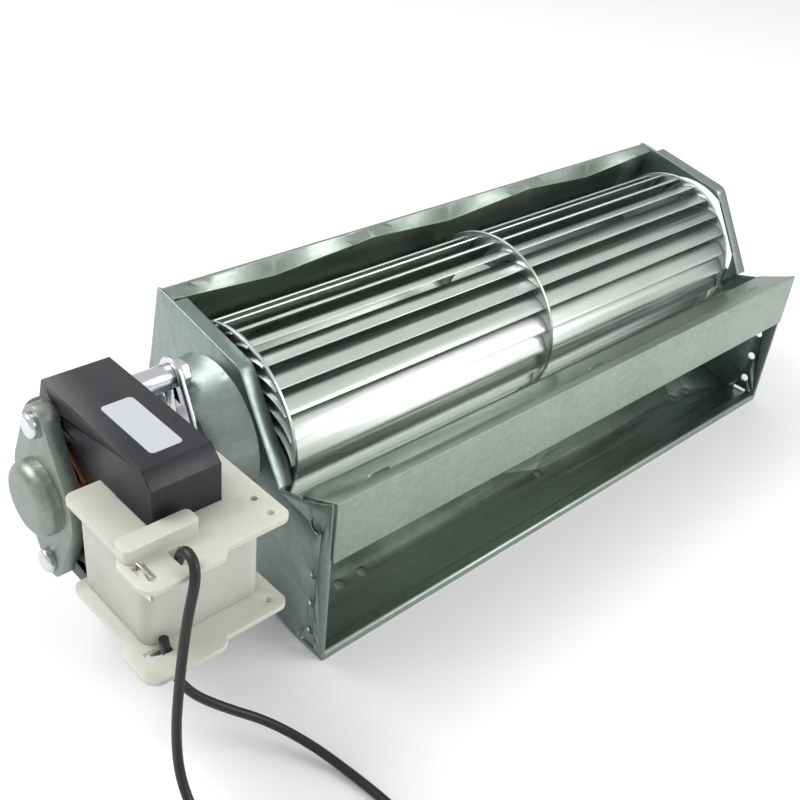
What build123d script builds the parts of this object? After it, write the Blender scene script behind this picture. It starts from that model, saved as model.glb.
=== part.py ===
"""Cross flow fan with a shaded-pole skeleton motor, millimetres.

X runs along the impeller's axis, away from the motor. Y points to the back, so that air leaves
towards -Y, and Z is up. The origin is the middle hole of the mounting column in the drive end
plate, on that plate's outer face.
"""
import math
import os

from build123d import *

# ---- Driving sizes ----
fan_length = 243.0          # over the two end plates
sheet = 1.0                 # gauge of the plates, the scroll and the tongue

blade_count = 24
impeller_radius = 30.0
blade_depth = 9.0           # radial depth of one blade
blade_gauge = 0.6
blade_lean = 24.0           # degrees that a blade's root lags behind its tip
blade_bow = 1.6             # rise of the blade's curve over its chord
blade_stake = 0.6           # blade end that stands proud of its disc
slot_clearance = 0.05
disc_gauge = 1.0
drive_disc_x = 6.8          # outer face of the drive-side disc
far_disc_gap = 11.0         # far disc's outer face to the far plate's outer face
disc_rim = 0.6              # disc beyond the blade tips
ring_rim = 1.6              # middle ring beyond the blade tips
ring_web = 1.2              # middle ring inside the blade roots

outlet_reach = 55.0         # front edge of the duct, forward of the axis
floor_drop = 54.5           # underside of the duct's floor, below the axis
foot_length = 14.0          # flat part of the floor
scroll_bottom_r = 41.5
scroll_back_r = 36.6
scroll_back_turn = -30.0    # degrees from straight back
scroll_neck = (32.2, 6.8)   # from the axis, back and up: the spiral ends and a flat wall begins
ridge_high = (22.4, 32.2)
ridge_low = (25.2, 27.6)
lip_top = (26.4, 33.8)
zigzag_count = 6
ridge_fold = 1.5            # gauges that the fold's outer corner lies behind its inner one
hem_depth = 5.0
hem_height = 2.6
column_margin = 6.5         # mounting column behind the front edge
column_height = 19.0        # its middle hole above the underside

tongue_low_z = -14.0        # bends of the tongue sheet, from the axis
tongue_high_z = 4.4
tongue_tip = (-32.6, -8.4)
tongue_back = (-41.5, -1.4)
flange_width = 5.0

shaft_radius = 3.0
bearing_clearance = 0.03
hub_radius = 8.0
hub_length = 14.0

stack_near_x = -29.0        # drive-side face of the laminations
stack_thickness = 20.0
stack_half_height = 31.2
bar_height = 15.6
leg_width = 17.0
coil_depth = 7.4
window_gap = 0.6            # between the coil and the rotor's pole piece
rotor_radius = 13.0
air_gap = 0.4
bolt_spacing = 46.0
bolt_radius = 2.0
bracket_gauge = 1.5
bobbin_wall = 1.5
lead_radius = 1.3

# ---- Sizes that follow ----
axis_y = outlet_reach - column_margin
axis_z = floor_drop - column_height
plate_x = fan_length - sheet
far_disc_x = fan_length - far_disc_gap
middle_ring_x = (drive_disc_x + far_disc_x - disc_gauge) / 2
disc_radius = impeller_radius + disc_rim
stack_far_x = stack_near_x - stack_thickness
stack_mid_x = (stack_near_x + stack_far_x) / 2
window_half = stack_half_height - bar_height
rotor_bore = rotor_radius + air_gap
pole_wall = 7.2
leg_back = -(rotor_bore + pole_wall + coil_depth + window_gap)
leg_front = leg_back - leg_width
leg_mid = (leg_back + leg_front) / 2

os.makedirs("parts", exist_ok=True)


def across(x, y=0.0, z=0.0):
    """Plane square to the impeller's axis: local X is back and local Y is up, from the axis."""
    return Plane(origin=(x, axis_y + y, axis_z + z), x_dir=(0, 1, 0), z_dir=(1, 0, 0))


def polar(radius, degrees):
    return (radius * math.cos(math.radians(degrees)), radius * math.sin(math.radians(degrees)))


def save(part, name):
    part.label = name
    export_step(part, f"parts/{name}.step")


# ---- Profiles shared by the sheet-metal pieces, from the axis ----
floor_in_z = -floor_drop + sheet
crease = (-outlet_reach + foot_length, floor_in_z)
crease_reach = math.hypot(*crease)
tangent_turn = math.degrees(math.acos(scroll_bottom_r / crease_reach))
tangent_angle = math.degrees(math.atan2(crease[1], crease[0])) + tangent_turn
scroll_start = polar(scroll_bottom_r, tangent_angle)
scroll_back = polar(scroll_back_r, scroll_back_turn)


def scroll_section(ridge):
    """Half of the scroll's section that turns around the impeller, one gauge thick."""
    with BuildLine(mode=Mode.PRIVATE) as inner:
        Line(crease, scroll_start)
        ThreePointArc(scroll_start, scroll_back, scroll_neck)
        Polyline(scroll_neck, ridge, lip_top)
    with BuildLine(mode=Mode.PRIVATE) as outer:
        start = polar(scroll_bottom_r + sheet, tangent_angle)
        back = polar(scroll_back_r + sheet, scroll_back_turn)
        neck = (scroll_neck[0] + sheet, scroll_neck[1])
        fold = (ridge[0] + ridge_fold * sheet, ridge[1])
        lip = (lip_top[0] + sheet, lip_top[1])
        Line((crease[0], crease[1] - sheet), start)
        ThreePointArc(start, back, neck)
        Polyline(neck, fold, lip)
    with BuildSketch(mode=Mode.PRIVATE) as section:
        with BuildLine():
            add(inner.line)
            add(outer.line)
            Line(crease, (crease[0], crease[1] - sheet))
            Line(lip_top, lip)
        make_face()
    return section.sketch


# ---- End plates: one pressing, used on both ends ----
plate_top = (26.4, 33.8)
intake_kink = (-12.4, 26.8)
kink_radius = 5.0
intake_end = (-31.8, -4.0)
tab_top = (-45.0, 0.0)
front_top = (-outlet_reach, tongue_high_z + sheet)
plate_margin = 1.2

with BuildLine(mode=Mode.PRIVATE) as intake_edge:
    FilletPolyline(plate_top, intake_kink, intake_end, radius=kink_radius)

with BuildSketch(mode=Mode.PRIVATE) as plate_face:
    with BuildLine():
        add(intake_edge.line)
        floor_corner = (crease[0], -floor_drop)
        start_out = polar(scroll_bottom_r + plate_margin, tangent_angle)
        back_out = polar(scroll_back_r + plate_margin + sheet, scroll_back_turn)
        neck_out = (scroll_neck[0] + plate_margin + sheet, scroll_neck[1])
        Polyline(intake_end, tab_top, front_top, (-outlet_reach, -floor_drop), floor_corner, start_out)
        ThreePointArc(start_out, back_out, neck_out)
        Polyline(neck_out, (lip_top[0] + plate_margin + sheet, plate_top[1]), plate_top)
    make_face()

# The flange follows the intake edge, one gauge thick, and begins in front of the scroll's lip
flange_clear = 6.0
edge_slope = (plate_top[1] - intake_kink[1]) / (plate_top[0] - intake_kink[0])
flange_top = (plate_top[0] - flange_clear, plate_top[1] - flange_clear * edge_slope)

with BuildSketch(mode=Mode.PRIVATE) as flange_face:
    with BuildLine():
        FilletPolyline(flange_top, intake_kink, intake_end, radius=kink_radius)
        offset(amount=sheet, side=Side.LEFT, kind=Kind.INTERSECTION)
    make_face()

column_y = -axis_y          # the mounting column, from the axis
column_z = -axis_z
column_pitch = 11.0
column_hole_r = 1.6
corner_hole_r = 2.5
corner_hole = (column_y - 0.4, tongue_high_z + sheet - 11.6)
slot_length = 6.0
slot_height = 1.6
slot_rise = 2.0             # slot's middle above the underside
slot_offset = 0.8
dish_mouth_r = 22.0
dish_floor_r = 16.5
dish_depth = 13.0
drive_cup_r = 10.0
cup_clearance = 0.3
far_hole_r = 27.0
fixing_r = 1.2
fixing_span = dish_floor_r + drive_cup_r

with BuildSketch(mode=Mode.PRIVATE) as column_holes:
    with Locations((column_y, column_z)):
        with GridLocations(0, column_pitch, 1, 3):
            Circle(column_hole_r)
    with Locations(corner_hole):
        Circle(corner_hole_r)
    with Locations((column_y + slot_offset, slot_rise - floor_drop)):
        SlotOverall(slot_length, slot_height)

with BuildPart() as drive_end_plate:
    with BuildSketch(across(0)):
        add(plate_face.sketch)
        add(column_holes.sketch, mode=Mode.SUBTRACT)
        Circle(dish_mouth_r, mode=Mode.SUBTRACT)
    extrude(amount=sheet)
    with BuildSketch(across(0)):
        add(flange_face.sketch)
    extrude(amount=flange_width)
    # A dish is drawn outwards in the plate, and carries the motor on its floor
    with BuildSketch(Plane(origin=(0, axis_y, axis_z), x_dir=(1, 0, 0), z_dir=(0, -1, 0))):
        with BuildLine():
            Polyline((sheet, dish_mouth_r), (0, dish_mouth_r + sheet), (-dish_depth, dish_floor_r + sheet),
                     (-dish_depth, drive_cup_r + cup_clearance),
                     (sheet - dish_depth, drive_cup_r + cup_clearance),
                     (sheet - dish_depth, dish_floor_r), (sheet, dish_mouth_r))
        make_face()
    revolve(axis=Axis((0, axis_y, axis_z), (1, 0, 0)))
    with BuildSketch(across(-dish_depth)):
        with GridLocations(fixing_span, 0, 2, 1):
            Circle(fixing_r)
    extrude(amount=sheet, mode=Mode.SUBTRACT)
save(drive_end_plate.part, "drive_end_plate")

bridge_width = 15.0
bridge_span = 2 * far_hole_r + 9.0
bridge_angle = 26.0         # the bridge leans clear of the intake flange
rivet_r = 1.5


def rivet_places():
    return PolarLocations((bridge_span - bridge_width / 2) / 2, 2, start_angle=bridge_angle)


with BuildPart() as far_end_plate:
    with BuildSketch(across(plate_x)):
        add(plate_face.sketch)
        add(column_holes.sketch, mode=Mode.SUBTRACT)
        Circle(far_hole_r, mode=Mode.SUBTRACT)
        with rivet_places():
            Circle(rivet_r, mode=Mode.SUBTRACT)
    extrude(amount=sheet)
    with BuildSketch(across(fan_length)):
        add(flange_face.sketch)
    extrude(amount=flange_width)
save(far_end_plate.part, "far_end_plate")

# ---- Scroll sheet: flat foot with a rolled hem, spiral back, zig-zag ridge and upright lip ----
duct_length = fan_length - 2 * sheet
segment = duct_length / zigzag_count
floor_hole_r = 2.0
floor_hole_y = -outlet_reach + 20.0
floor_hole_end = 23.7       # outermost hole from the plates' outer faces
floor_hole_pitch = 9.8
end_holes = (floor_hole_end, floor_hole_end + floor_hole_pitch)
floor_hole_xs = (*end_holes, fan_length / 2, *[fan_length - x for x in end_holes])

with BuildPart() as scroll_sheet:
    for index in range(zigzag_count):
        near, far = (ridge_high, ridge_low) if index % 2 == 0 else (ridge_low, ridge_high)
        with BuildSketch(across(sheet + index * segment)):
            add(scroll_section(near))
        with BuildSketch(across(sheet + (index + 1) * segment)):
            add(scroll_section(far))
        loft(ruled=True)
    with BuildSketch(across(sheet)):
        with BuildLine():
            front = (-outlet_reach, -floor_drop)
            Polyline(crease, (crease[0], -floor_drop), front, (front[0], floor_in_z), crease)
        make_face()
    extrude(amount=duct_length)
    with BuildSketch(across(sheet)):
        with Locations((-outlet_reach + hem_depth / 2, -floor_drop + hem_height / 2)):
            SlotOverall(hem_depth, hem_height)
    extrude(amount=duct_length)
    with Locations(*[Location((x, axis_y + floor_hole_y, axis_z - floor_drop)) for x in floor_hole_xs]):
        Cylinder(floor_hole_r, 14, mode=Mode.SUBTRACT)
save(scroll_sheet.part, "scroll_sheet")

# ---- Tongue sheet: roof of the outlet, upright front and top flange, stiffened by three darts ----
dart_half = 4.0
dart_height = 5.0
dart_xs = (22.0, fan_length / 2, fan_length - 22.0)

with BuildPart() as tongue_sheet:
    with BuildSketch(across(sheet)):
        with BuildLine():
            low = (-outlet_reach, tongue_low_z)
            high = (-outlet_reach, tongue_high_z)
            Polyline(tongue_tip, low, high, tongue_back)
            offset(amount=sheet, side=Side.RIGHT, kind=Kind.INTERSECTION)
        make_face()
    extrude(amount=duct_length)
    for dart_x in dart_xs:
        with BuildSketch(across(dart_x - dart_half)):
            with BuildLine():
                inner = (high[0] + sheet, high[1] - sheet)
                Polyline(
                    inner, (inner[0], inner[1] - dart_height), (inner[0] + dart_height, inner[1]), inner
                )
            make_face()
        extrude(amount=2 * dart_half)
save(tongue_sheet.part, "tongue_sheet")

# ---- Impeller ----
blade_root_r = impeller_radius - blade_depth
blade_start = drive_disc_x - blade_stake
blade_end = far_disc_x + blade_stake


def blade_section(grow):
    """Curved section of the first blade. It is grown by the clearance to cut the slots."""
    half = blade_gauge / 2 + grow
    tip = polar(impeller_radius - half + grow, 0)
    root = polar(blade_root_r + half - grow, -blade_lean)
    middle = ((tip[0] + root[0]) / 2, (tip[1] + root[1]) / 2)
    chord = math.dist(tip, root)
    bow = (blade_bow * (tip[1] - root[1]) / chord, -blade_bow * (tip[0] - root[0]) / chord)
    with BuildSketch(mode=Mode.PRIVATE) as section:
        with BuildLine():
            ThreePointArc(root, (middle[0] + bow[0], middle[1] + bow[1]), tip)
        trace(line_width=2 * half)
    return section.sketch


blade_face = blade_section(0)
slot_face = blade_section(slot_clearance)

for index in range(blade_count):
    with BuildPart() as blade:
        with BuildSketch(across(blade_start)):
            add(blade_face, rotation=index * 360 / blade_count)
        extrude(amount=blade_end - blade_start)
    save(blade.part, f"blade_{index + 1:02d}")


def slotted_disc(x, gauge, outer_r, hole_r):
    """Disc or ring with a slot for each blade."""
    with BuildPart() as disc:
        with BuildSketch(across(x)):
            Circle(outer_r)
            Circle(hole_r, mode=Mode.SUBTRACT)
            with PolarLocations(0, blade_count):
                add(slot_face, mode=Mode.SUBTRACT)
        extrude(amount=gauge)
    return disc.part


hub_spigot_r = 5.0
save(slotted_disc(drive_disc_x, disc_gauge, disc_radius, hub_spigot_r), "drive_end_disc")
save(slotted_disc(far_disc_x - disc_gauge, disc_gauge, disc_radius, shaft_radius), "far_end_disc")
ring_outer = impeller_radius + ring_rim
save(slotted_disc(middle_ring_x, disc_gauge, ring_outer, blade_root_r - ring_web), "middle_ring")

# The hub is riveted over the drive disc by its spigot, and a set screw holds it on the shaft
shaft_end_x = drive_disc_x + hub_length
set_screw_r = 1.5
set_screw_x = drive_disc_x + disc_gauge + hub_length / 2

with BuildPart() as impeller_hub:
    with BuildSketch(across(drive_disc_x + disc_gauge)):
        Circle(hub_radius)
        Circle(shaft_radius, mode=Mode.SUBTRACT)
    extrude(amount=hub_length - disc_gauge)
    with BuildSketch(across(drive_disc_x - disc_gauge)):
        Circle(hub_spigot_r)
        Circle(shaft_radius, mode=Mode.SUBTRACT)
    extrude(amount=2 * disc_gauge)
    with Locations(Location((set_screw_x, axis_y, axis_z + hub_radius))):
        Cylinder(set_screw_r, 2 * (hub_radius - shaft_radius), mode=Mode.SUBTRACT)
save(impeller_hub.part, "impeller_hub")

with BuildPart() as hub_set_screw:
    with BuildSketch(Plane((set_screw_x, axis_y, axis_z + shaft_radius + 0.1))):
        Circle(set_screw_r)
    extrude(amount=hub_radius - shaft_radius - 0.6)
    with BuildSketch(Plane((set_screw_x, axis_y, axis_z + hub_radius - 0.5))):
        RegularPolygon(0.8, 6)
    extrude(amount=-1.5, mode=Mode.SUBTRACT)
save(hub_set_screw.part, "hub_set_screw")

# ---- Far end: stub shaft, bush in its rubber mount, and the bridge that carries it ----
stub_flange_r = 7.0
bush_radius = 5.5
bush_length = 9.0
rubber_radius = 9.5
rubber_groove = 1.0
bridge_gauge = 1.2
bridge_x = fan_length
bush_x = bridge_x + bridge_gauge / 2 - bush_length / 2

with BuildPart() as far_stub_shaft:
    with BuildSketch(across(far_disc_x)):
        Circle(stub_flange_r)
    extrude(amount=1.2)
    with BuildSketch(across(far_disc_x - disc_gauge)):
        Circle(shaft_radius)
    extrude(amount=bush_x + bush_length + 3 - far_disc_x + disc_gauge)
    chamfer(far_stub_shaft.edges().group_by(Axis.X)[-1], 0.5)
save(far_stub_shaft.part, "far_stub_shaft")

with BuildPart() as far_bearing_bush:
    with BuildSketch(across(bush_x)):
        Circle(bush_radius)
        Circle(shaft_radius + bearing_clearance, mode=Mode.SUBTRACT)
    extrude(amount=bush_length)
save(far_bearing_bush.part, "far_bearing_bush")

with BuildPart() as rubber_bearing_mount:
    with BuildSketch(across(bush_x + 1)):
        Circle(rubber_radius)
        Circle(bush_radius, mode=Mode.SUBTRACT)
    extrude(amount=bush_length - 2)
    with BuildSketch(across(bridge_x)):
        Circle(rubber_radius + 1)
        Circle(rubber_radius - rubber_groove, mode=Mode.SUBTRACT)
    extrude(amount=bridge_gauge, mode=Mode.SUBTRACT)
save(rubber_bearing_mount.part, "rubber_bearing_mount")

with BuildPart() as bearing_bridge:
    with BuildSketch(across(bridge_x)):
        SlotOverall(bridge_span + bridge_width / 2, bridge_width, rotation=bridge_angle)
        Circle(rubber_radius + 4)
        Circle(rubber_radius - rubber_groove, mode=Mode.SUBTRACT)
        with rivet_places():
            Circle(rivet_r, mode=Mode.SUBTRACT)
    extrude(amount=bridge_gauge)
save(bearing_bridge.part, "bearing_bridge")

with BuildPart() as bridge_rivets:
    with BuildSketch(across(plate_x)):
        with rivet_places():
            Circle(rivet_r)
    extrude(amount=sheet + bridge_gauge)
    with BuildSketch(across(bridge_x + bridge_gauge)):
        with rivet_places():
            Circle(2 * rivet_r)
    extrude(amount=1.0)
    fillet(bridge_rivets.edges().group_by(Axis.X)[-1], 0.8)
save(bridge_rivets.part, "bridge_rivets")

# ---- Motor: laminations, coil core, winding and bobbin ----
pole_back = 24.0
shoulder_back = 8.8
shoulder_drop = 7.0
front_bevel = 4.0
top_flat_end = 6.4
shading_r = 1.1
shading_reach = rotor_bore + 3.4
shading_spread = 17.0       # degrees each side of a ring's middle
shading_angles = (125.0, -55.0)
shading_link = 1.2

with BuildPart() as stator_stack:
    with BuildSketch(across(stack_far_x)):
        with BuildLine():
            shoulder_z = stack_half_height - shoulder_drop
            bevel_y = leg_front + front_bevel
            bevel_z = stack_half_height - front_bevel
            Polyline(
                (shoulder_back, -shoulder_z), (top_flat_end, -stack_half_height),
                (bevel_y, -stack_half_height), (leg_front, -bevel_z), (leg_front, bevel_z),
                (bevel_y, stack_half_height), (top_flat_end, stack_half_height), (shoulder_back, shoulder_z),
            )
            ThreePointArc((shoulder_back, shoulder_z), (pole_back, 0), (shoulder_back, -shoulder_z))
        make_face()
        Circle(rotor_bore, mode=Mode.SUBTRACT)
        window_front = leg_front - 1
        with Locations(((window_front + leg_back + coil_depth + window_gap) / 2, 0)):
            Rectangle(leg_back + coil_depth + window_gap - window_front, 2 * window_half,
                      mode=Mode.SUBTRACT)
        with GridLocations(0, bolt_spacing, 1, 2):
            Circle(bolt_radius + slot_clearance, mode=Mode.SUBTRACT)
        for angle in shading_angles:
            with Locations(polar(shading_reach, angle - shading_spread),
                           polar(shading_reach, angle + shading_spread)):
                Circle(shading_r + slot_clearance, mode=Mode.SUBTRACT)
    extrude(amount=stack_thickness)
save(stator_stack.part, "stator_stack")

# The coil leg is a stack of its own that is pressed between the two bars
with BuildPart() as coil_core:
    with BuildSketch(across(stack_far_x)):
        with Locations((leg_mid, 0)):
            Rectangle(leg_width, 2 * window_half)
    extrude(amount=stack_thickness)
save(coil_core.part, "coil_core")

flange_front = leg_front - 15.4
flange_back = leg_back + coil_depth
flange_half_x = stack_thickness / 2 + 10.6
sleeve = 1.0
apron_near_x = stack_mid_x + 1.0
apron_far_x = stack_mid_x - 23.0
apron_front = flange_front - 2.6
apron_back = flange_front + 13.0
apron_corner = 4.0
rib_height = 4.0            # raised bar behind the slots of the leads
rib_length = 20.4
rib_depth = 5.6
rib_back = 1.6              # the bar's rounded back edge in front of the laminations
slot_front = flange_front + 1.2
slot_back = flange_front + 7.2
lead_slot = 2 * lead_radius + 0.8
lead_1_x = stack_mid_x - 9.6
lead_1_y = flange_front + 4.4
lead_2_x = stack_mid_x - 14.0
lead_2_y = flange_front + 6.0
lead_2_slot = 7.0
terminal_gauge = 0.8
terminal_x = stack_mid_x - 19.3
terminal_top = 1.2          # above the flange
terminal_length = 8.0


def leg_sketch(x_margin, y_margin):
    with BuildSketch(mode=Mode.PRIVATE) as ring:
        RectangleRounded(2 * (stack_thickness / 2 + x_margin), leg_width + 2 * y_margin, 2.0)
        Rectangle(stack_thickness + 2 * slot_clearance, leg_width + 2 * slot_clearance,
                  mode=Mode.SUBTRACT)
    return ring.sketch


def level(z, x=0.0, y=0.0):
    """Level plane, placed from the coil leg's middle and from the axis' height."""
    return Plane(origin=(stack_mid_x + x, axis_y + leg_mid + y, axis_z + z))


with BuildPart() as coil_bobbin:
    with BuildSketch(level(-window_half)):
        add(leg_sketch(sleeve, sleeve))
    extrude(amount=2 * window_half)
    flange_centre = (flange_front + flange_back) / 2 - leg_mid
    for flange_z in (-window_half, window_half - bobbin_wall):
        with BuildSketch(level(flange_z)):
            with Locations((0, flange_centre)):
                RectangleRounded(2 * flange_half_x, flange_back - flange_front, 3.0)
            Rectangle(stack_thickness + 2 * slot_clearance, leg_width + 2 * slot_clearance,
                      mode=Mode.SUBTRACT)
            with Locations((flange_half_x - 4, flange_front - leg_mid + 4),
                           (flange_half_x - 4, flange_front - leg_mid + 11)):
                Circle(1.0, mode=Mode.SUBTRACT)
        extrude(amount=bobbin_wall)
        # An apron carries the slots for the leads in front of the flange
        with BuildSketch(level(flange_z, (apron_near_x + apron_far_x) / 2 - stack_mid_x,
                               (apron_front + apron_back) / 2 - leg_mid)):
            RectangleRounded(apron_near_x - apron_far_x, apron_back - apron_front, apron_corner)
        extrude(amount=bobbin_wall)
    with BuildSketch(level(window_half, apron_far_x + rib_length / 2 + bobbin_wall - stack_mid_x,
                           leg_front - rib_back - rib_depth / 2 - leg_mid)):
        RectangleRounded(rib_length, rib_depth, 1.5)
    extrude(amount=rib_height)
    with Locations(Location((lead_1_x, axis_y + (slot_front + slot_back) / 2, axis_z + window_half)),
                   Location((terminal_x, axis_y + (slot_front + slot_back) / 2, axis_z + window_half))):
        Box(lead_slot, slot_back - slot_front, 3 * bobbin_wall, mode=Mode.SUBTRACT)
    with Locations(Location((lead_2_x - lead_slot / 2, axis_y + lead_2_y, axis_z - window_half))):
        Box(lead_2_slot, lead_slot, 3 * bobbin_wall, mode=Mode.SUBTRACT)
save(coil_bobbin.part, "coil_bobbin")

winding_depth = coil_depth - 0.8
coil_half = window_half - bobbin_wall


def coil_ring(inner_margin, outer_margin):
    with BuildPart() as ring:
        with BuildSketch(level(-coil_half)):
            RectangleRounded(stack_thickness + 2 * outer_margin, leg_width + 2 * outer_margin, 4.0)
            RectangleRounded(stack_thickness + 2 * inner_margin, leg_width + 2 * inner_margin,
                             2.0 if inner_margin == sleeve else 3.2, mode=Mode.SUBTRACT)
        extrude(amount=2 * coil_half)
    return ring.part


save(coil_ring(sleeve, winding_depth), "coil_winding")
save(coil_ring(winding_depth + slot_clearance, coil_depth), "coil_tape")

with BuildPart() as shading_rings:
    for angle in shading_angles:
        ends = (polar(shading_reach, angle - shading_spread), polar(shading_reach, angle + shading_spread))
        middle = polar(shading_reach, angle)
        link = math.dist(ends[0], ends[1]) + 2 * shading_r
        with BuildSketch(across(stack_far_x)):
            with Locations(*ends):
                Circle(shading_r)
        extrude(amount=stack_thickness)
        for face_x in (stack_far_x - shading_link, stack_near_x):
            with BuildSketch(across(face_x)):
                with Locations(((ends[0][0] + ends[1][0]) / 2, (ends[0][1] + ends[1][1]) / 2)):
                    SlotOverall(link, 2 * shading_r, rotation=angle + 90)
            extrude(amount=shading_link)
save(shading_rings.part, "shading_rings")

# ---- Rotor and shaft ----
end_ring = 3.0
outer_spacer = 4.5
drive_spacer = -stack_near_x - dish_depth - bracket_gauge
outer_bracket_x = stack_far_x - outer_spacer - bracket_gauge
drive_bracket_x = stack_near_x + drive_spacer
cup_depth = 5.5
cup_radius = 11.0
bearing_radius = 6.0
bearing_length = 5.5
shaft_start_x = outer_bracket_x - cup_depth + bracket_gauge + 1.0

with BuildPart() as rotor_core:
    with BuildSketch(across(stack_far_x - end_ring)):
        Circle(rotor_radius)
        Circle(shaft_radius, mode=Mode.SUBTRACT)
    extrude(amount=stack_thickness + 2 * end_ring)
    chamfer(rotor_core.edges().filter_by(GeomType.CIRCLE).sort_by(SortBy.RADIUS)[-2:], 0.8)
save(rotor_core.part, "rotor_core")

with BuildPart() as motor_shaft:
    with BuildSketch(across(shaft_start_x)):
        Circle(shaft_radius)
    extrude(amount=shaft_end_x - shaft_start_x)
    chamfer(motor_shaft.edges().filter_by(GeomType.CIRCLE), 0.4)
save(motor_shaft.part, "motor_shaft")

# ---- Motor brackets, bearings and fasteners ----
ear_width = 11.0
bracket_disc_r = 15.5
bracket_lip = 3.0


def bolt_places():
    return GridLocations(0, bolt_spacing, 1, 2)


def bracket_outline(shrink=0.0):
    """Disc round the cup and an ear for each bolt, with tangent sides between them."""
    with BuildSketch(mode=Mode.PRIVATE) as outline:
        Circle(bracket_disc_r - shrink)
        with bolt_places():
            Circle(ear_width / 2 - shrink)
        make_hull()
    return outline.sketch


with BuildPart() as outer_bracket:
    with BuildSketch(across(outer_bracket_x)):
        add(bracket_outline())
        with bolt_places():
            Circle(bolt_radius + slot_clearance, mode=Mode.SUBTRACT)
    extrude(amount=bracket_gauge)
    with BuildSketch(across(outer_bracket_x)):
        add(bracket_outline())
        add(bracket_outline(bracket_gauge), mode=Mode.SUBTRACT)
    extrude(amount=bracket_gauge + bracket_lip)
    with BuildSketch(across(outer_bracket_x + bracket_gauge)):
        Circle(cup_radius)
    extrude(amount=-(cup_depth + bracket_gauge))
    fillet(outer_bracket.faces().sort_by(Axis.X)[0].edges(), 3.5)
    with BuildSketch(across(outer_bracket_x + bracket_gauge)):
        Circle(cup_radius - bracket_gauge)
    extrude(amount=-cup_depth, mode=Mode.SUBTRACT)
save(outer_bracket.part, "outer_bracket")

drive_cup_depth = 7.0

with BuildPart() as drive_bracket:
    with BuildSketch(across(drive_bracket_x)):
        add(bracket_outline())
        with bolt_places():
            Circle(bolt_radius + slot_clearance, mode=Mode.SUBTRACT)
        with GridLocations(fixing_span, 0, 2, 1):
            Circle(fixing_r, mode=Mode.SUBTRACT)
    extrude(amount=bracket_gauge)
    with BuildSketch(across(drive_bracket_x)):
        Circle(drive_cup_r)
    extrude(amount=drive_cup_depth)
    with BuildSketch(across(drive_bracket_x)):
        Circle(drive_cup_r - bracket_gauge)
    extrude(amount=drive_cup_depth - bracket_gauge, mode=Mode.SUBTRACT)
    with BuildSketch(across(drive_bracket_x)):
        Circle(shaft_radius + 1.5)
    extrude(amount=drive_cup_depth, mode=Mode.SUBTRACT)
save(drive_bracket.part, "drive_bracket")


def bearing(seat_x, direction, cup_r, name):
    """Sintered bearing with its sprung retainer, seated against the bottom of a bracket's cup."""
    with BuildPart() as bush:
        with BuildSketch(across(seat_x)):
            Circle(bearing_radius)
            Circle(shaft_radius + bearing_clearance, mode=Mode.SUBTRACT)
        extrude(amount=direction * bearing_length)
        with BuildSketch(across(seat_x + direction * bearing_length / 2)):
            Circle(cup_r - bracket_gauge)
            Circle(shaft_radius + bearing_clearance, mode=Mode.SUBTRACT)
        extrude(amount=direction * 1.2)
    save(bush.part, name)


bearing(outer_bracket_x - cup_depth + bracket_gauge, 1, cup_radius, "outer_bearing")
bearing(drive_bracket_x + drive_cup_depth - bracket_gauge, -1, drive_cup_r, "drive_bearing")

screw_head = 2.4
nut_height = 3.2
nut_radius = 4.2
screw_start = outer_bracket_x - screw_head
screw_end = drive_bracket_x + bracket_gauge + nut_height + 1.0

with BuildPart() as motor_screws:
    with BuildSketch(across(outer_bracket_x)):
        with bolt_places():
            Circle(bolt_radius)
    extrude(amount=screw_end - outer_bracket_x)
    with BuildSketch(across(screw_start)):
        with bolt_places():
            Circle(3.6)
    extrude(amount=screw_head)
    fillet(motor_screws.edges().group_by(Axis.X)[0], 1.2)
save(motor_screws.part, "motor_screws")

with BuildPart() as motor_nuts:
    with BuildSketch(across(drive_bracket_x + bracket_gauge)):
        with bolt_places():
            RegularPolygon(nut_radius, 6)
            Circle(bolt_radius + slot_clearance, mode=Mode.SUBTRACT)
    extrude(amount=nut_height)
save(motor_nuts.part, "motor_nuts")

with BuildPart() as spacer_tubes:
    for tube_x, tube_length in ((stack_far_x - outer_spacer, outer_spacer), (stack_near_x, drive_spacer)):
        with BuildSketch(across(tube_x)):
            with bolt_places():
                Circle(bolt_radius + 1.8)
                Circle(bolt_radius + slot_clearance, mode=Mode.SUBTRACT)
        extrude(amount=tube_length)
save(spacer_tubes.part, "spacer_tubes")

with BuildPart() as bracket_screws:
    with BuildSketch(across(drive_bracket_x)):
        with GridLocations(fixing_span, 0, 2, 1):
            Circle(fixing_r - slot_clearance)
    extrude(amount=bracket_gauge + sheet + 2.0)
    with BuildSketch(across(drive_bracket_x)):
        with GridLocations(fixing_span, 0, 2, 1):
            Circle(2 * fixing_r)
    extrude(amount=-1.6)
    fillet(bracket_screws.edges().group_by(Axis.X)[0], 1.0)
save(bracket_screws.part, "bracket_screws")

# ---- Terminals and leads ----
with BuildPart() as coil_terminals:
    with BuildSketch(Plane(origin=(terminal_x, axis_y + (slot_front + slot_back) / 2,
                                   axis_z + window_half + terminal_top))):
        Rectangle(terminal_gauge, slot_back - slot_front - 2 * slot_clearance)
    extrude(amount=-terminal_length)
save(coil_terminals.part, "coil_terminals")

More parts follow.
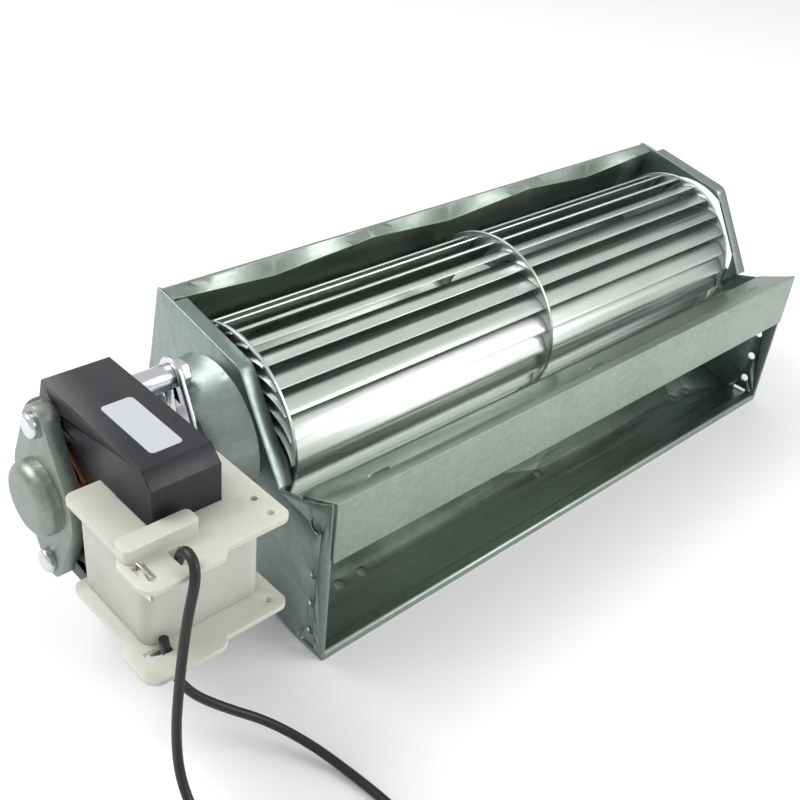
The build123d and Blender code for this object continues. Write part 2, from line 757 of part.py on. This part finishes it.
apron_top = axis_z + window_half
lead_1_points = [
    (lead_1_x, -6.0, apron_top - 9.0),
    (lead_1_x, axis_y + lead_1_y, apron_top + 4.0),
    (lead_1_x - 0.8, axis_y + apron_front - 2.2, apron_top + 3.6),
    (-53.4, axis_y + apron_front - 2.6, 40.0),
    (-56.4, -18.4, 22.0),
    (-58.6, -19.4, 6.0),
    (-60.0, -23.0, -7.0),
    (-61.0, -33.0, -14.0),
    (-60.0, -46.0, -17.7),
    (-57.5, -60.0, -17.7),
]
lead_2_points = [
    (lead_2_x, axis_y + lead_2_y, axis_z - window_half + 5.0),
    (lead_2_x + 1.0, axis_y + lead_2_y - 0.4, 15.0),
    (-48.5, -9.5, 5.0),
    (-40.0, -13.5, -3.5),
    (-30.5, -19.5, -10.0),
    (-23.5, -30.0, -15.0),
    (-19.5, -44.0, -17.7),
    (-18.0, -58.0, -17.7),
    (-18.6, -74.0, -17.7),
]


def lead(points, name):
    """Straight runs joined by the largest tangent arcs that each corner's two runs allow."""
    vectors = [Vector(*point) for point in points]
    runs = [(end - start).length for start, end in zip(vectors, vectors[1:])]
    radii = []
    for index in range(1, len(vectors) - 1):
        turn = (vectors[index] - vectors[index - 1]).get_angle(vectors[index + 1] - vectors[index])
        radii.append(0.45 * min(runs[index - 1], runs[index]) / math.tan(math.radians(turn / 2)))
    print(name, "radii", [round(radius, 1) for radius in radii], "length", round(sum(runs), 1))
    with BuildPart() as tube:
        with BuildLine() as route:
            FilletPolyline(*points, radius=radii)
        with BuildSketch(Plane(origin=route.line @ 0, z_dir=route.line % 0)):
            Circle(lead_radius)
        sweep()
    save(tube.part, name)


def lead_coil(end, name):
    """Outer shape of the put-away turns: the lead's last point lies on the ring's middle line."""
    with BuildPart() as ring:
        with BuildSketch(Plane(origin=(end[0] - coil_radius, end[1], end[2] - lead_radius))):
            Circle(coil_radius + lead_radius)
            Circle(coil_radius - lead_radius, mode=Mode.SUBTRACT)
        extrude(amount=coil_height)
    save(ring.part, name)


coil_radius = 14.5
coil_turns = 2
coil_height = 2 * lead_radius * (coil_turns + 1)
lead(lead_1_points, "lead_1")
lead(lead_2_points, "lead_2")
lead_coil(lead_1_points[-1], "lead_1_coil")
lead_coil(lead_2_points[-1], "lead_2_coil")

# Each lead ends in a crimped connector that lies across the top of its turns
barrel_length = 6.0
connector_length = 10.0
connector_width = 6.4
chord_start = -25.0
chord_end = -100.0

with BuildPart() as lead_connectors:
    for end in (lead_1_points[-1], lead_2_points[-1]):
        centre = Vector(end[0] - coil_radius, end[1], end[2] + coil_height)
        start = centre + Vector(*polar(coil_radius, chord_start))
        heading = centre + Vector(*polar(coil_radius, chord_end)) - start
        with BuildSketch(Plane(origin=start, z_dir=heading)):
            Circle(lead_radius)
        extrude(amount=barrel_length)
        tab_start = start + heading.normalized() * barrel_length
        with BuildSketch(Plane(origin=tab_start, x_dir=heading.cross(Vector(0, 0, 1)), z_dir=heading)):
            RectangleRounded(connector_width, 2 * lead_radius, 0.6)
        extrude(amount=connector_length)
save(lead_connectors.part, "lead_connectors")
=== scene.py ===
"""Cross flow fan: the finish of every piece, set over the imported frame. Metres, in the frame's axes."""
import math

import bmesh
import bpy
from mathutils import Matrix, Vector


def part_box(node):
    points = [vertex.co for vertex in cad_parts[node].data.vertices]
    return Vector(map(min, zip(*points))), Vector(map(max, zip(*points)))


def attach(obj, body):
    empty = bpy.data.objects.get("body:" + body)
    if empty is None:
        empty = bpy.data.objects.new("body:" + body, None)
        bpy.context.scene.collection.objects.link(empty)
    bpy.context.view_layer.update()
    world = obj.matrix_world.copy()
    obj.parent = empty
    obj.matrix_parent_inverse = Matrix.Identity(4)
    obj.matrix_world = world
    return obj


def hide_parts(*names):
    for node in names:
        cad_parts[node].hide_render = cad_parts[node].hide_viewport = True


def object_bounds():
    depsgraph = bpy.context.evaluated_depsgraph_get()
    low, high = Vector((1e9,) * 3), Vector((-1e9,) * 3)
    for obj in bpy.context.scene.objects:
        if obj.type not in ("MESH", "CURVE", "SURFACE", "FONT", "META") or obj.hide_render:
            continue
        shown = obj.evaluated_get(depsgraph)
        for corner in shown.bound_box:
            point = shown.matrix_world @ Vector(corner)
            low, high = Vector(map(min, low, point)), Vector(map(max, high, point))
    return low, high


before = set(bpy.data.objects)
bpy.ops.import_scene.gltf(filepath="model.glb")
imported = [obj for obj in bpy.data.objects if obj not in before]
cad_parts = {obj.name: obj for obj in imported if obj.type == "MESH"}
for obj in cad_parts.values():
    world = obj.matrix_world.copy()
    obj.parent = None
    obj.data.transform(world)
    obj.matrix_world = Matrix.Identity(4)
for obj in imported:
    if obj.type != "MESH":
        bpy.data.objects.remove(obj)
cad_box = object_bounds()
scene = bpy.context.scene
MM = 0.001

# ---- Camera ----
# It stands in front of the motor end and above it, tipped a little to one side.
camera_data = bpy.data.cameras.new("camera")
camera_data.lens = 47.97
camera_data.sensor_width = 36.0
camera_data.shift_y = 0.01
camera_data.clip_start = 0.005
camera = bpy.data.objects.new("camera", camera_data)
scene.collection.objects.link(camera)
camera_stand = (-0.1494, -0.1696, 0.2226)
camera_heading = -46.39     # degrees, as are the next two
camera_look_down = 33.87
camera_tilt = 6.16
camera_place = Matrix.Translation(camera_stand)
camera_turn = Matrix.Rotation(math.radians(camera_heading), 4, "Z")
camera_tip = Matrix.Rotation(math.radians(90 - camera_look_down), 4, "X")
camera_roll = Matrix.Rotation(math.radians(camera_tilt), 4, "Z")
camera.matrix_world = camera_place @ camera_turn @ camera_tip @ camera_roll
scene.camera = camera


# ---- Leads ----
# Two flexible leads with black PVC insulation leave the coil by slots in the bobbin's aprons, reach
# the bench and end in crimped connectors. Their spare length is put away in two neat turns each.
def linear(hex_colour, alpha=1.0):
    """sRGB hex colour as the linear values that a shader takes."""
    values = []
    for shift in (16, 8, 0):
        channel = (hex_colour >> shift & 255) / 255
        values.append(channel / 12.92 if channel <= 0.04045 else ((channel + 0.055) / 1.055) ** 2.4)
    return (*values, alpha)


def node(tree, kind, links=(), **settings):
    """Adds a node. Settings are its own properties or, as numbers and colours, its sockets."""
    made = tree.nodes.new(kind)
    for name, value in settings.items():
        if hasattr(made, name):
            setattr(made, name, value)
        else:
            made.inputs[name.replace("_", " ")].default_value = value
    for socket, source in links:
        tree.links.new(source, made.inputs[socket])
    return made


def new_material(name):
    """A material with its own shader, and the object coordinates that its patterns read."""
    material = bpy.data.materials.new(name)
    material.use_nodes = True
    tree = material.node_tree
    shader = tree.nodes["Principled BSDF"]
    coordinates = node(tree, "ShaderNodeTexCoord").outputs["Object"]
    return material, tree, shader, coordinates


def pvc_insulation():
    """Extruded flexible PVC: a soft sheen that fine extrusion drag breaks up."""
    material, tree, shader, place = new_material("black_pvc_insulation")
    grain = node(tree, "ShaderNodeTexNoise", [("Vector", place)], Scale=900.0, Detail=3.0)
    tone = node(tree, "ShaderNodeMapRange", [("Value", grain.outputs["Fac"])], To_Min=0.36, To_Max=0.52)
    relief = node(tree, "ShaderNodeBump", [("Height", grain.outputs["Fac"])], Strength=0.12,
                  Distance=0.0001)
    shader.inputs["Base Color"].default_value = linear(0x131416)
    tree.links.new(tone.outputs["Result"], shader.inputs["Roughness"])
    tree.links.new(relief.outputs["Normal"], shader.inputs["Normal"])
    return material


lead_diameter = 2.6 * MM
coil_radius = 14.5 * MM
coil_turns = 2
points_per_turn = 12
chord_start = math.radians(-25)
chord_end = math.radians(-100)
connector_lift = (coil_turns + 1) * lead_diameter
connector_reach = 3.0 * MM
pvc = pvc_insulation()

lead_routes = {
    "lead_1": [
        (-48.6, -6.0, 42.1),
        (-48.6, -8.1, 55.1),
        (-49.4, -17.3, 54.7),
        (-53.4, -17.7, 40.0),
        (-56.4, -18.4, 22.0),
        (-58.6, -19.4, 6.0),
        (-60.0, -23.0, -7.0),
        (-61.0, -33.0, -14.0),
        (-60.0, -46.0, -17.7),
        (-57.5, -60.0, -17.7),
    ],
    "lead_2": [
        (-53.0, -6.5, 24.9),
        (-52.0, -6.9, 15.0),
        (-48.5, -9.5, 5.0),
        (-40.0, -13.5, -3.5),
        (-30.5, -19.5, -10.0),
        (-23.5, -30.0, -15.0),
        (-19.5, -44.0, -17.7),
        (-18.0, -58.0, -17.7),
        (-18.6, -74.0, -17.7),
    ],
}


def put_away(end):
    """The lead's turns, from its last point on the bench to its connector on top of them."""
    centre = end - Vector((coil_radius, 0, 0))
    turns = []
    for step in range(1, coil_turns * points_per_turn + 1):
        angle = -math.tau * step / points_per_turn
        climb = lead_diameter * step / points_per_turn
        turns.append(centre + Vector((math.cos(angle), math.sin(angle), 0)) * coil_radius
                     + Vector((0, 0, climb)))
    top = centre + Vector((0, 0, connector_lift))
    start = top + Vector((math.cos(chord_start), math.sin(chord_start), 0)) * coil_radius
    finish = top + Vector((math.cos(chord_end), math.sin(chord_end), 0)) * coil_radius
    return turns + [start, start + (finish - start).normalized() * connector_reach]


for lead_name, route in lead_routes.items():
    points = [Vector(point) * MM for point in route]
    points += put_away(points[-1])
    curve = bpy.data.curves.new(f"{lead_name}_insulation", "CURVE")
    curve.dimensions = "3D"
    curve.bevel_depth = lead_diameter / 2
    curve.bevel_resolution = 5
    curve.use_fill_caps = True
    curve.resolution_u = 8
    spline = curve.splines.new("NURBS")
    spline.points.add(len(points) - 1)
    for spline_point, point in zip(spline.points, points):
        spline_point.co = (*point, 1)
    spline.order_u = 3
    spline.use_endpoint_u = True
    lead = bpy.data.objects.new(f"{lead_name}_insulation", curve)
    scene.collection.objects.link(lead)
    curve.materials.append(pvc)
    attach(lead, "housing")
    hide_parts(lead_name, f"{lead_name}_coil")


# ---- End plates, scroll, tongue and bearing bridge ----
# Pressed from hot-dip galvanised sheet, about a millimetre thick. The zinc has a faint spangle, and
# the coil's rolling leaves fine streaks along the sheet.
def dress(name, material, edge=0.2 * MM, sharp=30):
    """Welds a node's loose triangles, rounds its sharp edges and gives it its finish."""
    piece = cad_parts[name]
    piece.data.materials.clear()
    piece.data.materials.append(material)
    for polygon in piece.data.polygons:
        polygon.use_smooth = True
    weld = piece.modifiers.new("weld", "WELD")
    weld.merge_threshold = 0.002 * MM
    bevel = piece.modifiers.new("edges", "BEVEL")
    bevel.width = edge
    bevel.segments = 2
    bevel.limit_method = "ANGLE"
    bevel.angle_limit = math.radians(sharp)
    bevel.harden_normals = True
    return piece


def galvanised_steel(name, tint, streak_axis):
    """Zinc over steel: a soft mirror, broken up by spangle, rolling streaks and handling marks."""
    material, tree, shader, place = new_material(name)
    stretch = [1.0, 1.0, 1.0]
    stretch[streak_axis] = 0.04
    along = node(tree, "ShaderNodeMapping", [("Vector", place)])
    along.inputs["Scale"].default_value = stretch
    spangle = node(tree, "ShaderNodeTexVoronoi", [("Vector", place)], Scale=520.0)
    streaks = node(tree, "ShaderNodeTexNoise", [("Vector", along.outputs["Vector"])], Scale=900.0,
                   Detail=4.0)
    clouds = node(tree, "ShaderNodeTexNoise", [("Vector", place)], Scale=38.0, Detail=5.0)
    colour = node(tree, "ShaderNodeMix", [("Factor", clouds.outputs["Fac"])], data_type="RGBA")
    colour.inputs["A"].default_value = linear(tint[0])
    colour.inputs["B"].default_value = linear(tint[1])
    grains = node(tree, "ShaderNodeMix", [("Factor", spangle.outputs["Color"])], data_type="RGBA",
                  blend_type="MULTIPLY")
    tree.links.new(colour.outputs["Result"], grains.inputs["A"])
    grains.inputs["B"].default_value = linear(0xECEFEF)
    mixed = node(tree, "ShaderNodeMath", [(0, streaks.outputs["Fac"]), (1, clouds.outputs["Fac"])],
                 operation="ADD")
    rough = node(tree, "ShaderNodeMapRange", [("Value", mixed.outputs["Value"])], From_Min=0.6,
                 From_Max=1.4, To_Min=0.30, To_Max=0.50)
    relief = node(tree, "ShaderNodeBump", [("Height", streaks.outputs["Fac"])], Strength=0.10,
                  Distance=0.0001)
    waves = node(tree, "ShaderNodeBump",
                 [("Height", clouds.outputs["Fac"]), ("Normal", relief.outputs["Normal"])],
                 Strength=0.10, Distance=0.001)
    shader.inputs["Metallic"].default_value = 1.0
    tree.links.new(grains.outputs["Result"], shader.inputs["Base Color"])
    tree.links.new(rough.outputs["Result"], shader.inputs["Roughness"])
    tree.links.new(waves.outputs["Normal"], shader.inputs["Normal"])
    return material


along_x = 0
along_z = 2
plate_steel = galvanised_steel("galvanised_plate", (0x86938F, 0x9FACA6), along_z)
duct_steel = galvanised_steel("galvanised_duct_sheet", (0x8F9A92, 0xACB7AD), along_x)
dress("drive_end_plate", plate_steel)
dress("far_end_plate", plate_steel)
dress("scroll_sheet", duct_steel, 0.6 * MM, 12)
dress("tongue_sheet", duct_steel, 0.35 * MM)
dress("bearing_bridge", plate_steel)


# ---- Impeller ----
# Bright rolled aluminium strip, staked through the end discs and through one ring at mid length.
def rolled_aluminium(name, tint, streak_axis):
    """Mill-finish aluminium: a bright mirror with drawn lines along the strip."""
    material, tree, shader, place = new_material(name)
    stretch = [1.0, 1.0, 1.0]
    stretch[streak_axis] = 0.015
    along = node(tree, "ShaderNodeMapping", [("Vector", place)])
    along.inputs["Scale"].default_value = stretch
    lines = node(tree, "ShaderNodeTexNoise", [("Vector", along.outputs["Vector"])], Scale=1400.0,
                 Detail=3.0)
    stains = node(tree, "ShaderNodeTexNoise", [("Vector", place)], Scale=55.0, Detail=4.0)
    colour = node(tree, "ShaderNodeMix", [("Factor", stains.outputs["Fac"])], data_type="RGBA")
    colour.inputs["A"].default_value = linear(tint[0])
    colour.inputs["B"].default_value = linear(tint[1])
    rough = node(tree, "ShaderNodeMapRange", [("Value", lines.outputs["Fac"])], From_Min=0.3,
                 From_Max=0.7, To_Min=0.28, To_Max=0.42)
    relief = node(tree, "ShaderNodeBump", [("Height", lines.outputs["Fac"])], Strength=0.14,
                  Distance=0.0001)
    shader.inputs["Metallic"].default_value = 1.0
    tree.links.new(colour.outputs["Result"], shader.inputs["Base Color"])
    tree.links.new(rough.outputs["Result"], shader.inputs["Roughness"])
    tree.links.new(relief.outputs["Normal"], shader.inputs["Normal"])
    return material


blade_count = sum(1 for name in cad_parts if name.startswith("blade_"))
blade_aluminium = rolled_aluminium("rolled_aluminium_strip", (0xCDD3CE, 0xE4E8E2), along_x)
disc_aluminium = rolled_aluminium("blanked_aluminium_disc", (0xC4C9C8, 0xDCDFDD), along_z)
for index in range(blade_count):
    dress(f"blade_{index + 1:02d}", blade_aluminium, 0.1 * MM)
for disc_name in ("drive_end_disc", "middle_ring", "far_end_disc"):
    dress(disc_name, disc_aluminium, 0.12 * MM)
dress("impeller_hub", disc_aluminium, 0.3 * MM)


# ---- Shafts, screws, nuts and spacers ----
# Ground shafts, and fasteners with bright zinc plate.
def turned_steel(name, tint, roughness):
    """Turned and plated steel: even and bright, with fine tool marks."""
    material, tree, shader, place = new_material(name)
    marks = node(tree, "ShaderNodeTexNoise", [("Vector", place)], Scale=1300.0, Detail=2.0)
    rough = node(tree, "ShaderNodeMapRange", [("Value", marks.outputs["Fac"])], To_Min=roughness - 0.06,
                 To_Max=roughness + 0.08)
    relief = node(tree, "ShaderNodeBump", [("Height", marks.outputs["Fac"])], Strength=0.08,
                  Distance=0.0001)
    shader.inputs["Base Color"].default_value = linear(tint)
    shader.inputs["Metallic"].default_value = 1.0
    tree.links.new(rough.outputs["Result"], shader.inputs["Roughness"])
    tree.links.new(relief.outputs["Normal"], shader.inputs["Normal"])
    return material


ground_steel = turned_steel("ground_shaft_steel", 0xC2C3C4, 0.18)
zinc_plate = turned_steel("bright_zinc_plate", 0xD3D6DA, 0.22)
for shaft_name in ("motor_shaft", "far_stub_shaft"):
    dress(shaft_name, ground_steel, 0.15 * MM)
for fastener_name in ("hub_set_screw", "motor_screws", "motor_nuts", "spacer_tubes", "bracket_screws",
                      "drive_bracket"):
    dress(fastener_name, zinc_plate, 0.3 * MM)
dress("bridge_rivets", disc_aluminium, 0.2 * MM)

# ---- Bearings and rubber mount ----
# Oil-filled sintered bronze bushes, the far one held in a moulded rubber ring.
sintered_bronze = turned_steel("sintered_bronze", 0xA88B5C, 0.42)
for bush_name in ("outer_bearing", "drive_bearing", "far_bearing_bush"):
    dress(bush_name, sintered_bronze)


def moulded_rubber():
    """Black nitrile rubber: dull, with a fine bloom on its moulded skin."""
    material, tree, shader, place = new_material("moulded_nitrile_rubber")
    bloom = node(tree, "ShaderNodeTexNoise", [("Vector", place)], Scale=420.0, Detail=4.0)
    rough = node(tree, "ShaderNodeMapRange", [("Value", bloom.outputs["Fac"])], To_Min=0.55, To_Max=0.8)
    relief = node(tree, "ShaderNodeBump", [("Height", bloom.outputs["Fac"])], Strength=0.2,
                  Distance=0.0001)
    shader.inputs["Base Color"].default_value = linear(0x1B1B1C)
    tree.links.new(rough.outputs["Result"], shader.inputs["Roughness"])
    tree.links.new(relief.outputs["Normal"], shader.inputs["Normal"])
    return material


dress("rubber_bearing_mount", moulded_rubber(), 0.4 * MM)


# ---- Laminations ----
# Stamped silicon-steel sheets, half a millimetre each, stacked along the shaft and dipped in
# blue-black varnish that leaves the sheets' edges as fine lines.
def varnished_laminations(name, tint, roughness):
    """Dark varnish over a stack of sheet edges."""
    material, tree, shader, place = new_material(name)
    sheet_pitch = 0.65 * MM
    bands = node(tree, "ShaderNodeTexWave", [("Vector", place)], bands_direction="X",
                 Scale=math.tau / (20 * sheet_pitch), Distortion=0.6, Detail=2.0, Detail_Scale=6.0)
    patches = node(tree, "ShaderNodeTexNoise", [("Vector", place)], Scale=130.0, Detail=5.0)
    colour = node(tree, "ShaderNodeMix", [("Factor", patches.outputs["Fac"])], data_type="RGBA")
    colour.inputs["A"].default_value = linear(tint[0])
    colour.inputs["B"].default_value = linear(tint[1])
    rough = node(tree, "ShaderNodeMapRange", [("Value", patches.outputs["Fac"])],
                 To_Min=roughness - 0.1, To_Max=roughness + 0.15)
    relief = node(tree, "ShaderNodeBump", [("Height", bands.outputs["Fac"])], Strength=0.12,
                  Distance=0.0002)
    lumps = node(tree, "ShaderNodeBump",
                 [("Height", patches.outputs["Fac"]), ("Normal", relief.outputs["Normal"])],
                 Strength=0.15, Distance=0.0004)
    tree.links.new(colour.outputs["Result"], shader.inputs["Base Color"])
    tree.links.new(rough.outputs["Result"], shader.inputs["Roughness"])
    tree.links.new(lumps.outputs["Normal"], shader.inputs["Normal"])
    return material


varnish = varnished_laminations("varnished_laminations", (0x121318, 0x1D1F26), 0.40)
dress("stator_stack", varnish, 0.25 * MM)
dress("coil_core", varnish, 0.25 * MM)
rotor_steel = turned_steel("turned_rotor_laminations", 0x8C8D8E, 0.35)
dress("rotor_core", rotor_steel, 0.3 * MM)


# ---- Shading rings and winding ----
# Copper loops round the pole tips, browned by the varnish bath, and the enamelled winding.
def drawn_copper():
    """Drawn copper, a little dulled by the varnish bath."""
    material, tree, shader, place = new_material("drawn_copper")
    dulling = node(tree, "ShaderNodeTexNoise", [("Vector", place)], Scale=300.0, Detail=3.0)
    rough = node(tree, "ShaderNodeMapRange", [("Value", dulling.outputs["Fac"])], To_Min=0.2,
                 To_Max=0.42)
    shader.inputs["Base Color"].default_value = linear(0x7A4A34)
    shader.inputs["Metallic"].default_value = 1.0
    tree.links.new(rough.outputs["Result"], shader.inputs["Roughness"])
    return material


copper = drawn_copper()
dress("shading_rings", copper, 0.3 * MM)
dress("coil_winding", copper)


# ---- Coil bobbin ----
# One moulding of natural nylon: two thin flanges, each with a slotted apron for a lead, and a raised
# bar in front of the laminations. Light enters it a little way, so that its edges glow.
def natural_nylon():
    """Natural nylon: milky, with a soft sheen and faint flow marks."""
    material, tree, shader, place = new_material("natural_nylon")
    flow = node(tree, "ShaderNodeTexNoise", [("Vector", place)], Scale=70.0, Detail=3.0)
    colour = node(tree, "ShaderNodeMix", [("Factor", flow.outputs["Fac"])], data_type="RGBA")
    colour.inputs["A"].default_value = linear(0xBFC0B3)
    colour.inputs["B"].default_value = linear(0xCCCCC1)
    grain = node(tree, "ShaderNodeTexNoise", [("Vector", place)], Scale=1100.0, Detail=2.0)
    rough = node(tree, "ShaderNodeMapRange", [("Value", flow.outputs["Fac"])], To_Min=0.34, To_Max=0.5)
    relief = node(tree, "ShaderNodeBump", [("Height", grain.outputs["Fac"])], Strength=0.08,
                  Distance=0.0001)
    shader.inputs["Subsurface Weight"].default_value = 0.35
    shader.inputs["Subsurface Radius"].default_value = (1.0, 0.9, 0.75)
    shader.inputs["Subsurface Scale"].default_value = 1.5 * MM
    shader.inputs["IOR"].default_value = 1.53
    tree.links.new(colour.outputs["Result"], shader.inputs["Base Color"])
    tree.links.new(rough.outputs["Result"], shader.inputs["Roughness"])
    tree.links.new(relief.outputs["Normal"], shader.inputs["Normal"])
    return material


dress("coil_bobbin", natural_nylon(), 0.4 * MM)


# ---- Coil tape ----
# White adhesive cloth tape, wound round the coil in turns that overlap by half their width.
def cloth_tape():
    """Woven tape: a fine plain weave, and a step at each turn's edge."""
    material, tree, shader, place = new_material("white_cloth_tape")
    tape_pitch = 6.0 * MM
    thread_pitch = 0.5 * MM
    laps = node(tree, "ShaderNodeTexWave", [("Vector", place)], bands_direction="Z", wave_profile="SAW",
                Scale=math.tau / (20 * tape_pitch), Distortion=0.5, Detail=1.0)
    weave = node(tree, "ShaderNodeTexWave", [("Vector", place)], bands_direction="DIAGONAL",
                 Scale=math.tau / (20 * thread_pitch), Distortion=0.4, Detail=2.0)
    soiling = node(tree, "ShaderNodeTexNoise", [("Vector", place)], Scale=90.0, Detail=4.0)
    colour = node(tree, "ShaderNodeMix", [("Factor", soiling.outputs["Fac"])], data_type="RGBA")
    colour.inputs["A"].default_value = linear(0xB2B4AC)
    colour.inputs["B"].default_value = linear(0xC9CAC3)
    steps = node(tree, "ShaderNodeBump", [("Height", laps.outputs["Fac"])], Strength=0.5,
                 Distance=0.0004)
    relief = node(tree, "ShaderNodeBump",
                  [("Height", weave.outputs["Fac"]), ("Normal", steps.outputs["Normal"])],
                  Strength=0.25, Distance=0.0001)
    shader.inputs["Roughness"].default_value = 0.72
    tree.links.new(colour.outputs["Result"], shader.inputs["Base Color"])
    tree.links.new(relief.outputs["Normal"], shader.inputs["Normal"])
    return material


dress("coil_tape", cloth_tape(), 0.4 * MM)


# ---- Outer bearing bracket ----
# Pressed steel with a turned lip and a domed cup, under a grey phosphate coat.
def phosphated_steel():
    """Phosphate coat over pressed steel: grey, with a crystalline mottle."""
    material, tree, shader, place = new_material("phosphated_steel")
    crystals = node(tree, "ShaderNodeTexNoise", [("Vector", place)], Scale=520.0, Detail=6.0)
    colour = node(tree, "ShaderNodeMix", [("Factor", crystals.outputs["Fac"])], data_type="RGBA")
    colour.inputs["A"].default_value = linear(0x747B76)
    colour.inputs["B"].default_value = linear(0xA3AAA3)
    rough = node(tree, "ShaderNodeMapRange", [("Value", crystals.outputs["Fac"])], To_Min=0.3,
                 To_Max=0.55)
    relief = node(tree, "ShaderNodeBump", [("Height", crystals.outputs["Fac"])], Strength=0.2,
                  Distance=0.0001)
    shader.inputs["Metallic"].default_value = 0.9
    tree.links.new(colour.outputs["Result"], shader.inputs["Base Color"])
    tree.links.new(rough.outputs["Result"], shader.inputs["Roughness"])
    tree.links.new(relief.outputs["Normal"], shader.inputs["Normal"])
    return material


dress("outer_bracket", phosphated_steel(), 0.4 * MM)

# ---- Terminals and connectors ----
# Tinned brass strip: the coil's tab in its slot, and the crimped ends of the leads.
tinned_brass = turned_steel("tinned_brass", 0xD0CEC6, 0.26)
dress("coil_terminals", tinned_brass, 0.15 * MM)
dress("lead_connectors", tinned_brass, 0.3 * MM)


# ---- Rating label ----
# A bare metallised polyester label on the top of the laminations.
def label_film():
    """Metallised film: pale and satin, lifted here and there by air under it."""
    material, tree, shader, place = new_material("metallised_label_film")
    air = node(tree, "ShaderNodeTexNoise", [("Vector", place)], Scale=110.0, Detail=2.0)
    relief = node(tree, "ShaderNodeBump", [("Height", air.outputs["Fac"])], Strength=0.12,
                  Distance=0.0004)
    shader.inputs["Base Color"].default_value = linear(0xC9CDCF)
    shader.inputs["Metallic"].default_value = 0.35
    shader.inputs["Roughness"].default_value = 0.34
    tree.links.new(relief.outputs["Normal"], shader.inputs["Normal"])
    return material


def add_piece(name, shape, material, body="housing"):
    """Makes an object of a finished bmesh, rides it on its body and names its finish."""
    mesh = bpy.data.meshes.new(name)
    shape.to_mesh(mesh)
    shape.free()
    mesh.materials.append(material)
    piece = bpy.data.objects.new(name, mesh)
    scene.collection.objects.link(piece)
    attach(piece, body)
    return piece


stack_low, stack_high = (Vector(corner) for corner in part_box("stator_stack"))
label_half = 4.6 * MM
label_front = 8.0 * MM
label_length = 24.0 * MM
label_thickness = 0.12 * MM
label_corner = 1.2 * MM
label_middle = (stack_low.x + stack_high.x) / 2
label_start = stack_low.y + label_front
label_low = Vector((label_middle - label_half, label_start, stack_high.z))
label_high = Vector((label_middle + label_half, label_start + label_length,
                     stack_high.z + label_thickness))
label_shape = bmesh.new()
bmesh.ops.create_cube(label_shape, size=1.0)
bmesh.ops.scale(label_shape, vec=label_high - label_low, verts=label_shape.verts)
bmesh.ops.translate(label_shape, vec=(label_high + label_low) / 2, verts=label_shape.verts)
upright = [edge for edge in label_shape.edges
           if abs(edge.verts[0].co.z - edge.verts[1].co.z) > label_thickness / 2]
bmesh.ops.bevel(label_shape, geom=upright, offset=label_corner, segments=5, profile=0.5,
                affect="EDGES", material=-1)
add_piece("rating_label", label_shape, label_film())


# ---- Bench and light ----
# A pale bench that fades into a white surround, and two large soft lamps.
bench_z = cad_box[0][2]
bench_half = 6.0
bench_shape = bmesh.new()
bmesh.ops.create_grid(bench_shape, x_segments=1, y_segments=1, size=bench_half)
bmesh.ops.translate(bench_shape, vec=(0, 0, bench_z), verts=bench_shape.verts)
bench_mesh = bpy.data.meshes.new("bench")
bench_shape.to_mesh(bench_mesh)
bench_shape.free()
bench_material, _, bench_shader, _ = new_material("pale_bench")
bench_shader.inputs["Base Color"].default_value = linear(0xFAFAFA)
bench_shader.inputs["Roughness"].default_value = 0.9
bench_mesh.materials.append(bench_material)
bench = bpy.data.objects.new("bench", bench_mesh)
scene.collection.objects.link(bench)

world = bpy.data.worlds.new("surround")
world.use_nodes = True
world.node_tree.nodes["Background"].inputs["Color"].default_value = linear(0xFFFFFF)
world.node_tree.nodes["Background"].inputs["Strength"].default_value = 0.75
scene.world = world

lamps = (
    ("lamp_above", (-0.35, 0.55, 0.75), 0.55, 6.0),
    ("lamp_front", (0.65, -0.75, 0.65), 0.6, 5.0),
)
aim = Vector((0.08, 0.02, 0.02))
for lamp_name, place, size, power in lamps:
    lamp_data = bpy.data.lights.new(lamp_name, "AREA")
    lamp_data.size = size
    lamp_data.energy = power
    lamp = bpy.data.objects.new(lamp_name, lamp_data)
    lamp.location = place
    lamp.rotation_euler = (aim - Vector(place)).to_track_quat("-Z", "Y").to_euler()
    scene.collection.objects.link(lamp)

scene.view_settings.view_transform = "Standard"
